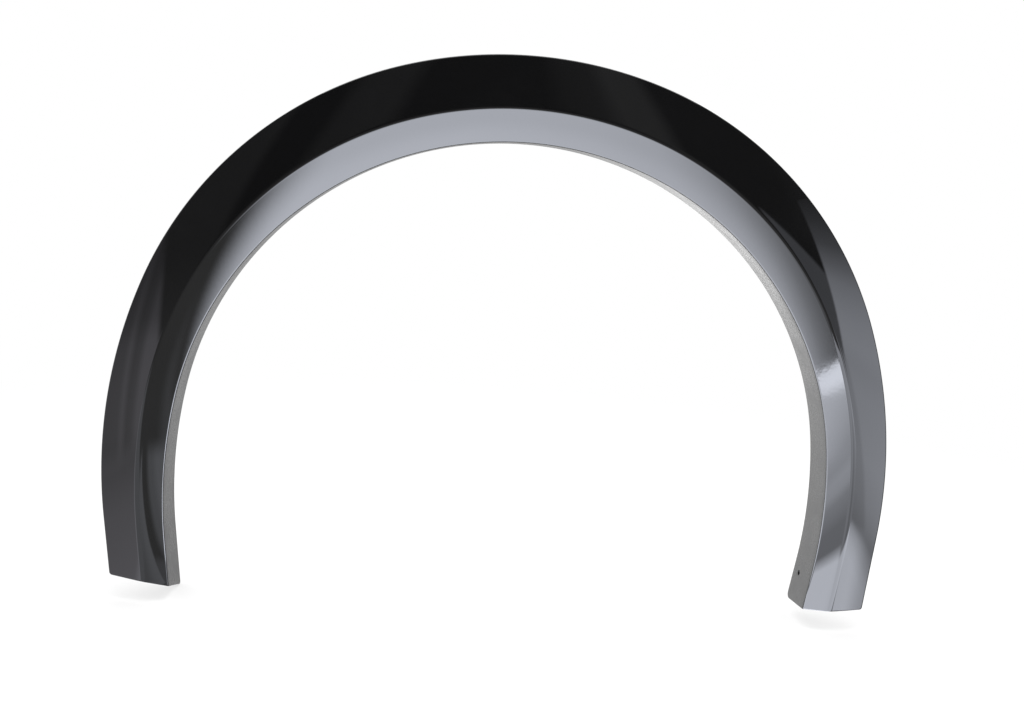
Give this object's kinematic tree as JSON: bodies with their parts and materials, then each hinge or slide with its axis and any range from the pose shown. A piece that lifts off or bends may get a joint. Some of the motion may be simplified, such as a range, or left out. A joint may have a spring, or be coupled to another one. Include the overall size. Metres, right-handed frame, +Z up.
{
  "type": "fender trim",
  "caption": "Gloss black wheel arch trim: an arched moulding with a creased face, a ridge that narrows down the legs and a lip turned into the wheel opening.",
  "frame": {"origin": "centre of the wheel opening, in the plane where the rim of the trim meets the body side", "axes": "+X along the car, to the right as seen from outside; +Y into the car; +Z up"},
  "size_m": [0.906, 0.0683, 0.6395],
  "materials": {
    "gloss_black": "gloss black injection moulding with a polished face and a finely grained lip"
  },
  "bodies": {
    "root": {"fender_trim": "gloss_black"}
  },
  "joints": []
}
